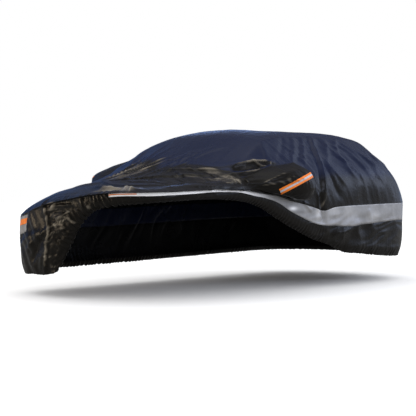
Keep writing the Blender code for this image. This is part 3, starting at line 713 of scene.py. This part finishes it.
def coated_polyester(name, sheen, specular):
    """Black polyester, woven tightly and coated with a smooth polyurethane film. The film gives it a dark
    gloss and keeps the creases of its folding. It is warm black where crumpled or low down; elsewhere a
    painted blue sky reflection makes it navy, and its crests carry painted highlights."""
    made, shader = new_material(name)
    place = add_node(made, "TexCoord")
    geometry = add_node(made, "NewGeometry")
    # Its UV map carries painted light: X the painted highlight on crests, Y how far the painted navy
    # reflection gives way to black
    state = add_node(made, "UVMap", uv_map="wear")
    painted_marks = add_node(made, "SeparateXYZ", {0: state[0]})
    # The film is uneven in patches of 200 mm. A painted blue sky reflection makes it navy, most where it
    # faces up and isn't black.
    cloud = add_node(made, "TexNoise", {"Vector": place["Object"], "Scale": 5.0, "Detail": 3})
    up = add_node(made, "SeparateXYZ", {0: geometry["Normal"]})
    lit = add_node(made, "Math", {0: up["Z"], 1: cloud["Fac"]}, operation="ADD")
    lit = add_node(made, "Math", {0: painted_marks["Y"], 1: -2.6, 2: lit[0]}, operation="MULTIPLY_ADD")
    span = {"Value": lit[0], "From Min": -0.8, "From Max": 0.4}
    navy = add_node(made, "MapRange", span, interpolation_type="SMOOTHSTEP")
    shade = add_node(made, "Mix", {0: navy[0], 6: "#171512", 7: "#191f35"}, data_type="RGBA")
    # Crests are painted brown as a highlight, and the brightest are painted pale beige
    patchy = add_node(made, "Math", {0: cloud["Fac"], 1: 0.6, 2: painted_marks["X"]}, operation="MULTIPLY_ADD")
    span = {"Value": patchy[0], "From Min": 0.55, "From Max": 1.3}
    brown = add_node(made, "MapRange", span, interpolation_type="SMOOTHSTEP")
    cloth = add_node(made, "Mix", {0: brown[0], 6: shade[2], 7: "#6e675b"}, data_type="RGBA")
    pale_highlight = add_node(made, "MapRange", {"Value": painted_marks["X"], "From Min": 1.0, "From Max": 2.0})
    rubbed = add_node(made, "Mix", {0: pale_highlight[0], 6: cloth[2], 7: "#c9c4b4"}, data_type="RGBA")
    # The uncoated inside is plain black
    lined = add_node(made, "Mix", {0: geometry["Backfacing"], 6: rubbed[2], 7: "#0d0d0e"}, data_type="RGBA")
    # Creases of 45 mm and 14 mm left by folding, then the 0.3 mm weave, drawn at 3 mm so that it shows
    coarse = {"Vector": place["Object"], "Scale": 22.0, "Detail": 3.0, "Roughness": 0.5}
    crease = add_node(made, "TexNoise", coarse, noise_type="RIDGED_MULTIFRACTAL")
    fine = {"Vector": place["Object"], "Scale": 70.0, "Detail": 2.0, "Roughness": 0.6}
    crinkle = add_node(made, "TexNoise", fine)
    threads = {"Scale": 1.0, "Brick Width": 0.003, "Row Height": 0.003, "Mortar Size": 0.0004}
    weave = add_node(made, "TexBrick", {"Vector": place["UV"], **threads})
    # Each with its strength and its height in metres
    relief = [(crease, 0.35, 0.006), (crinkle, 0.3, 0.003), (weave, 0.15, 0.0003)]
    under = {}
    for pattern, strength, deep in relief:
        height = {"Height": pattern["Fac"], "Strength": strength, "Distance": deep}
        under = {"Normal": add_node(made, "Bump", height | under)[0]}
    gloss = add_node(made, "MapRange", {"Value": cloud["Fac"], "To Min": 0.22, "To Max": 0.36})
    # The film's index is below polyurethane's 1.5, to match its dim mirror image, and it scatters a little
    # blue at a glancing look
    finish = {
        "Base Color": lined[2],
        "Roughness": gloss[0],
        "Specular IOR Level": specular,
        "IOR": 1.28,
        "Sheen Weight": sheen,
        "Sheen Roughness": 0.25,
        "Sheen Tint": "#4f86e6",
    }
    feed(shader, finish | under)
    return made


polyester = coated_polyester("coated_black_polyester", sheen=0.05, specular=0.5)


def thin_sheet(name, verts, quads, made_of, **uv_maps):
    """A piece of cloth or tape as one layer of mesh. Each UV map holds two values for each vertex."""
    mesh = bpy.data.meshes.new(name)
    mesh.from_pydata(verts, [], quads)
    corner = np.empty(len(mesh.loops), int)
    mesh.loops.foreach_get("vertex_index", corner)
    for map_name, at in uv_maps.items():
        mesh.uv_layers.new(name=map_name).data.foreach_set("uv", at[corner].ravel())
    mesh.polygons.foreach_set("use_smooth", np.ones(len(mesh.polygons), bool))
    mesh.materials.append(made_of)
    mesh.update()
    made = bpy.data.objects.new(name, mesh)
    bpy.context.collection.objects.link(made)
    return made


def cloth_piece(name, cells, made_of, offset=0.0, state=cloth_state):
    """One panel on the net. Its UV maps hold its place on the cloth, and the painted light on it."""
    used, index = np.unique(cells, return_inverse=True)
    at = points[used] + normals[used] * offset
    quads = index.reshape(cells.shape).tolist()
    return thin_sheet(name, at.tolist(), quads, made_of, cloth=cloth_uv[used], wear=state[used])


def fit_sheet(piece, node, slot, **sheet):
    """Hangs the piece under the root where it stands, and hides the solid of its node. The slot and the
    sheet's measures are not used.
    """
    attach(piece, "root")
    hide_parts(node)


# The fine wrinkles take up 2% of the cloth
WRINKLED = 1.02


def area_of(cells, wrinkled=WRINKLED):
    """The flat area of some cells' cloth, in square metres."""
    return float(np.linalg.norm(face_vectors(points, cells), axis=1).sum() / 2) / wrinkled


def sew_panel(node, made_of, **sheet):
    """Draws the panel that stands for a node, and fits it."""
    panel_cells = cells[owner == node]
    panel = cloth_piece(f"{node}_cloth", panel_cells, made_of)
    fit_sheet(panel, node, "black_polyester", area=area_of(panel_cells), **sheet)


both_sides = ["side_panel_left", "side_panel_right"]
sew_panel("centre_panel", polyester, flat=(1.86, 5.45), held="draped", rests_on=both_sides)

# --------------------------------------------
# Side panels
# Two cloths of the same coated polyester, from the rail seam down to the silver band, each with a hole
# that the mirror pocket is sewn into.

for side in both_sides:
    sew_panel(side, polyester, flat=(0.66, 3.95), held="hung", rests_on=["centre_panel"])

# --------------------------------------------
# Mirror pockets
# A pocket of the same cloth is sewn into each side, and bulges out over the door mirror. Much handled,
# its film is rubbed duller.

duller_polyester = coated_polyester("rubbed_black_polyester", sheen=0.0, specular=0.36)
for face in ("left", "right"):
    opening = [f"side_panel_{face}"]
    sew_panel(f"mirror_pocket_{face}", duller_polyester, flat=(0.45, 0.95), held="hung", rests_on=opening)

# --------------------------------------------
# Band
# A strip of woven polyester with a silver reflective coating, black inside. It is sewn in round the
# waist, between the sides and the skirt, and is open at the nose.


def reflective_polyester():
    """Silver polyester: aluminium paste in the coating gives it a grey satin shine. Highlights and shade
    are painted on it.
    """
    made, shader = new_material("silver_coated_polyester")
    place = add_node(made, "TexCoord")
    # Soft wrinkles of 110 mm, with finer ones down to 7 mm on them
    cloud = add_node(made, "TexNoise", {"Vector": place["Object"], "Scale": 9.0, "Detail": 4})
    # The silver is painted lighter on the wrinkles' tops and darker in their hollows, a painted mottled
    # reflection
    shade = add_node(made, "Mix", {0: cloud["Fac"], 6: "#7c7b7a", 7: "#b4b3b3"}, data_type="RGBA")
    state = add_node(made, "UVMap", uv_map="wear")
    light = add_node(made, "SeparateXYZ", {0: state[0]})
    # A nearly white painted highlight, and painted shade
    silver = add_node(made, "Mix", {0: light["X"], 6: shade[2], 7: "#fdfdfe"}, data_type="RGBA")
    shaded = add_node(made, "Mix", {0: light["Y"], 6: silver[2], 7: "#4a4846"}, data_type="RGBA")
    bump = add_node(made, "Bump", {"Height": cloud["Fac"], "Strength": 0.4, "Distance": 0.01})
    metal = add_node(made, "MapRange", {"Value": light["X"], "To Min": 0.35, "To Max": 0.0})
    finish = {"Base Color": shaded[2], "Metallic": metal[0], "Roughness": 0.42}
    feed(shader, finish | {"Normal": bump[0]})
    return made


silver = reflective_polyester()
band_cells = cells[owner == "band"]
# Over the front wheel the band is drawn tight and flat, and is painted nearly white there as a highlight
BRIGHT_ALONG = ([-0.55, -0.30, 0.90, 1.35], [0, 1, 1, 0])
band_state = np.zeros_like(cloth_state)
band_state[: wall_rows * stations, 0] = np.tile(np.interp(along, *BRIGHT_ALONG), wall_rows)
# and where it is folded over, a painted highlight marks where it catches the light and painted shade where
# it lies in shade
Spot = namedtuple("Spot", "x z half_x half_z light")
SPOTS = [
    Spot(-0.335, 0.733, 0.055, 0.016, 1),
    Spot(-0.26, 0.7, 0.1, 0.016, -0.4),
    Spot(-0.48, 0.75, 0.1, 0.012, -0.3),
    Spot(-0.1, 0.69, 0.06, 0.06, -0.2),
    Spot(0.05, 0.7, 0.04, 0.08, 0.4),
    Spot(0.3, 0.71, 0.09, 0.05, 0.2),
    Spot(0.55, 0.69, 0.12, 0.06, 0.15),
    Spot(0.8, 0.68, 0.08, 0.07, -0.12),
    Spot(1, 0.65, 0.12, 0.04, 0.2),
]
band_at = points - GROUND
for spot in SPOTS:
    off_x, off_z = (band_at[:, 0] - spot.x) / spot.half_x, (band_at[:, 2] - spot.z) / spot.half_z
    share = abs(spot.light) * np.exp(-(off_x**2) - off_z**2) * (band_at[:, 1] < 0)
    channel = 0 if spot.light > 0 else 1
    band_state[:, channel] = np.maximum(band_state[:, channel], share)
band = cloth_piece("band_cloth", band_cells, silver, state=band_state)
band.data.materials.append(polyester)
inside = band.modifiers.new("black_inside", "SOLIDIFY")
# 1 mm thick, inward
inside.thickness, inside.offset, inside.use_rim = 0.001, -1, True
inside.material_offset = inside.material_offset_rim = 1
fit_sheet(
    band,
    "band",
    "silver_reflective_polyester",
    flat=(0.17, 10.9),
    held="hung",
    rests_on=both_sides,
    area=area_of(band_cells),
)

# --------------------------------------------
# Skirt
# The lowest cloth, of the same duller polyester, from the band down to the hem. The hem is turned up inside
# over an elastic cord that gathers it.

sew_panel("skirt", duller_polyester, flat=(0.42, 11.9), held="gathered", rests_on=["band"])

# --------------------------------------------
# Corner strips
# Short lengths of orange reflective tape, which is woven polyester. One is sewn flat on the band round
# each front corner.


def reflective_tape():
    """Orange polyester tape: bright matte threads, and a silver stripe of glass beads down its middle."""
    made, shader = new_material("orange_reflective_tape")
    place = add_node(made, "UVMap", uv_map="cloth")
    across = add_node(made, "SeparateXYZ", {0: place[0]})
    # The stripe is 15.5 mm wide on the middle of a 50 mm tape
    off = add_node(made, "Math", {0: across["Y"], 1: 0.025}, operation="SUBTRACT")
    off = add_node(made, "Math", {0: off[0]}, operation="ABSOLUTE")
    stripe = add_node(made, "MapRange", {"Value": off[0], "From Min": 0.0085, "From Max": 0.0070})
    # Threads of 0.5 mm, drawn at 2 by 4 mm so that they show
    threads = {"Scale": 1.0, "Brick Width": 0.004, "Row Height": 0.002, "Mortar Size": 0.0003}
    oranges = {"Color1": "#ff8c14", "Color2": "#fb8410", "Mortar": "#d8640f"}
    weave = add_node(made, "TexBrick", {"Vector": place[0], **threads, **oranges})
    shade = add_node(made, "Mix", {0: stripe[0], 6: weave["Color"], 7: "#b9bcc2"}, data_type="RGBA")
    bump = add_node(made, "Bump", {"Height": weave["Fac"], "Strength": 0.4, "Distance": 0.0003})
    feed(shader, {"Base Color": shade[2], "Normal": bump[0], "Roughness": 0.45})
    return made


tape = reflective_tape()
CornerStrip = namedtuple("CornerStrip", "face q0 q1 width length")
CORNER_STRIPS = [
    CornerStrip("left", -0.8667, -0.6, 0.018, 0.26),
    CornerStrip("right", 0.65, 0.8833, 0.075, 0.24),
]
# The tape lies a little off the band
STRIP_OFF = 0.0015
for face, q0, q1, width, length in CORNER_STRIPS:
    near_corner = (face_at == "front") & (cell_q > q0) & (cell_q < q1)
    in_strip = (cell_level > STRIP_FOOT) & (cell_level < STRIP_HEAD)
    strip_cells = wall_cells[np.ix_(in_strip, near_corner)].reshape(-1, 4)
    fit_sheet(
        cloth_piece(f"corner_strip_{face}_tape", strip_cells, tape, offset=STRIP_OFF),
        f"corner_strip_{face}",
        "orange_reflective_tape",
        flat=(width, length),
        held="hung",
        rests_on=["band"],
        area=area_of(strip_cells, wrinkled=1),
    )

# --------------------------------------------
# Mirror strips
# The same orange tape at its full width, with its silver stripe of glass beads. One length is sewn
# slantwise across each mirror pocket.

# Each runs straight when seen from ahead and to its side, along `from_x, from_y`
Slant = namedtuple("Slant", "face x0 y0 z0 x1 y1 z1 from_x from_y")
SLANTS = [
    Slant("left", -0.7, -0.92, 0.83, -0.26, -1.05, 1.03, -0.762, -0.647),
    Slant("right", -0.94, 0.9, 0.985, -0.52, 0.95, 1.06, 0.0, 1.0),
]
TAPE_WIDTH, TAPE_OFF = 0.050, 0.0020
# How finely the tape is drawn, along it and across it
TAPE_STEPS, TAPE_THREADS = 90, 10
for slant in SLANTS:
    start = np.array([slant.x0, slant.y0, slant.z0])
    way = np.array([slant.x1, slant.y1, slant.z1]) - start
    length = np.linalg.norm(way)
    towards = np.array([slant.from_x, slant.from_y, 0.0])
    square = unit(np.cross(towards, way))
    pocket = bpy.data.objects[f"mirror_pocket_{slant.face}_cloth"]
    tape_rows = []
    for step in range(TAPE_STEPS + 1):
        row = []
        for thread in range(TAPE_THREADS + 1):
            across = square * TAPE_WIDTH * (thread / TAPE_THREADS - 0.5)
            at = start + way * step / TAPE_STEPS + across + GROUND
            hit, place, facing, _ = pocket.ray_cast(tuple(at + towards), tuple(-towards))
            off = math.copysign(TAPE_OFF, np.dot(facing, towards))
            row.append(tuple(place + facing * off) if hit else None)
        tape_rows.append(row)
    tape_rows = [row for row in tape_rows if None not in row]
    verts = [at for row in tape_rows for at in row]
    number = np.arange(len(verts)).reshape(len(tape_rows), -1)
    quads = quads_of(number).reshape(-1, 4).tolist()
    row_of, thread_of = np.divmod(number.ravel(), TAPE_THREADS + 1)
    tape_uv = np.column_stack([row_of / TAPE_STEPS * length, thread_of / TAPE_THREADS * TAPE_WIDTH])
    strip = thin_sheet(f"mirror_strip_{slant.face}_tape", verts, quads, tape, cloth=tape_uv)
    tape_area = sum(polygon.area for polygon in strip.data.polygons)
    fit_sheet(
        strip,
        f"mirror_strip_{slant.face}",
        "orange_reflective_tape",
        flat=(TAPE_WIDTH, tape_area / TAPE_WIDTH),
        held="hung",
        rests_on=[f"mirror_pocket_{slant.face}_cloth"],
    )

# --------------------------------------------
# Studio
# The cover lies alone on a pale floor, in a pale room that shows only in its gloss. One soft light hangs
# overhead, and four stand round it.

# Matte white paint, without gloss. The floor that the cloth mirrors is dimmer than the one in view.
floor_paint, floor_shader = new_material("pale_floor")
floor_seen = add_node(floor_paint, "LightPath")
DIM, WHITE, FILL = ((level, level, level, 1) for level in (0.25, 1.0, 1.25))
floor_mix = {0: floor_seen["Is Camera Ray"], 6: DIM, 7: WHITE}
floor_shade = add_node(floor_paint, "Mix", floor_mix, data_type="RGBA")
feed(floor_shader, {"Base Color": floor_shade[2], "Roughness": 0.9, "Specular IOR Level": 0.0})
FLOOR_REACH = 60.0
corners = [(FLOOR_REACH * x, FLOOR_REACH * y, 0) for x, y in ((-1, -1), (1, -1), (1, 1), (-1, 1))]
floor = thin_sheet("floor", corners, [(0, 1, 2, 3)], floor_paint)
floor.location = (0, 0, GROUND[2])

bpy.context.scene.view_settings.view_transform = "Standard"
world = bpy.data.worlds.new("studio")
bpy.context.scene.world = world
world.use_nodes = True
sky = add_node(world, "TexCoord")
sky_way = add_node(world, "SeparateXYZ", {0: sky["Generated"]})
# What the glossy cloth mirrors: a pale blue horizon, dark above it, grey higher up and dark overhead,
SKY = [
    (0.00, "#a9c4f0"),
    (0.14, "#6482b6"),
    (0.25, "#3d4252"),
    (0.34, "#5e5c5c"),
    (0.52, "#68676a"),
    (0.65, "#666a80"),
    (0.80, "#5e6274"),
    (1.00, "#3a3d4c"),
]
sky_shade = add_node(world, "ValToRGB", {"Fac": sky_way["Z"]})
ramp = sky_shade[0].node.color_ramp
for at, colour in SKY:
    stop = ramp.elements.new(at) if 0 < at < 1 else ramp.elements[int(at)]
    stop.color = linear(colour)
# with a blue wall at the right, a pale one at the left rear and a dark one ahead. Each fades in between two
# values of X or Y, and fades out from 30 to 53 degrees up.
WALLS = [
    ("#4d6796", [("Y", 0.68, 0.80)]),
    ("#d0dcf6", [("X", 0.35, 0.75), ("Y", 0.3, -0.1)]),
    ("#201e1c", [("X", -0.35, -0.65)]),
]
not_high = add_node(world, "MapRange", {"Value": sky_way["Z"], "From Min": 0.8, "From Max": 0.5})
room = sky_shade[0]
for colour, spans in WALLS:
    share = not_high[0]
    for axis, start, end in spans:
        span = {"Value": sky_way[axis], "From Min": start, "From Max": end}
        towards = add_node(world, "MapRange", span)
        share = add_node(world, "Math", {0: towards[0], 1: share}, operation="MULTIPLY")[0]
    room = add_node(world, "Mix", {0: share, 6: room, 7: colour}, data_type="RGBA")[2]
# The room lights everything evenly, and the camera sees plain white
seen = add_node(world, "LightPath")
lit_by = add_node(world, "Mix", {0: seen["Is Glossy Ray"], 6: FILL, 7: room}, data_type="RGBA")
backdrop = add_node(world, "Mix", {0: seen["Is Camera Ray"], 6: lit_by[2], 7: WHITE}, data_type="RGBA")
feed(world.node_tree.nodes["Background"], {"Color": backdrop[2], "Strength": 1.0})


def standing(place, right, up, back):
    """Where a lamp or the camera stands, and how it is turned."""
    turned = Matrix(np.column_stack([right, up, back])).to_4x4()
    return Matrix.Translation(place) @ turned


def soft_light(name, place, towards, size, watts, colour):
    """A soft box at a place, turned towards a point of the cover."""
    lamp = bpy.data.lights.new(name, "AREA")
    lamp.shape = "RECTANGLE"
    lamp.size, lamp.size_y = size
    lamp.energy = watts
    lamp.color = linear(colour)[:3]
    made = bpy.data.objects.new(name, lamp)
    back = unit(np.array(place, float) - np.array(towards, float))
    right = unit(np.cross((0, 1, 0) if abs(back[2]) > 0.99 else (0, 0, 1), back))
    made.matrix_world = standing(place, right, np.cross(back, right), back)
    bpy.context.collection.objects.link(made)


soft_light("overhead", (-0.5, 0.5, 4.0), (-0.3, 0, 0), (6, 3), 7, "#f0f2ff")
soft_light("rear_right", (7.0, 6.4, 2.7), (-0.3, 0, 0), (2.4, 0.8), 20, "#8fb0f0")
soft_light("left", (-1.5, -7.0, 1.6), (0, 0, -0.6), (2.5, 2.5), 90, "#dfe6ff")
soft_light("rear_left", (6.0, -4.0, 1.2), (0.7, -0.9, -0.4), (2.5, 2.0), 34, "#cddcff")
soft_light("front_right", (-7.0, 5.0, -0.2), (-2.0, 0, -0.8), (2, 1.5), 90, "#ffe6c4")

# The camera stands at the photograph's place, 10 m away and 0.86 m above the ground
AZIMUTH, ELEVATION, DISTANCE, ROLL = -49.65, 0.794, 9.936, 0.361
FOCAL_PIXELS, FRAME_PIXELS, SENSOR = 1080.5, 416, 36.0
TARGET = np.array([-0.417, 0.0, 0.725])
azimuth, elevation, roll = (math.radians(angle) for angle in (AZIMUTH, ELEVATION, ROLL))
level_back = np.array([math.sin(azimuth), -math.cos(azimuth), 0.0])
back = level_back * math.cos(elevation) + np.array([0.0, 0.0, math.sin(elevation)])
level_right = unit(np.cross((0, 0, 1), back))
level_up = np.cross(back, level_right)
right = level_right * math.cos(roll) + level_up * math.sin(roll)
up = level_up * math.cos(roll) - level_right * math.sin(roll)
camera = bpy.data.objects.new("camera", bpy.data.cameras.new("camera"))
camera.data.sensor_width = SENSOR
camera.data.lens = FOCAL_PIXELS / FRAME_PIXELS * SENSOR
camera.matrix_world = standing(TARGET + back * DISTANCE + GROUND, right, up, back)
bpy.context.collection.objects.link(camera)
bpy.context.scene.camera = camera
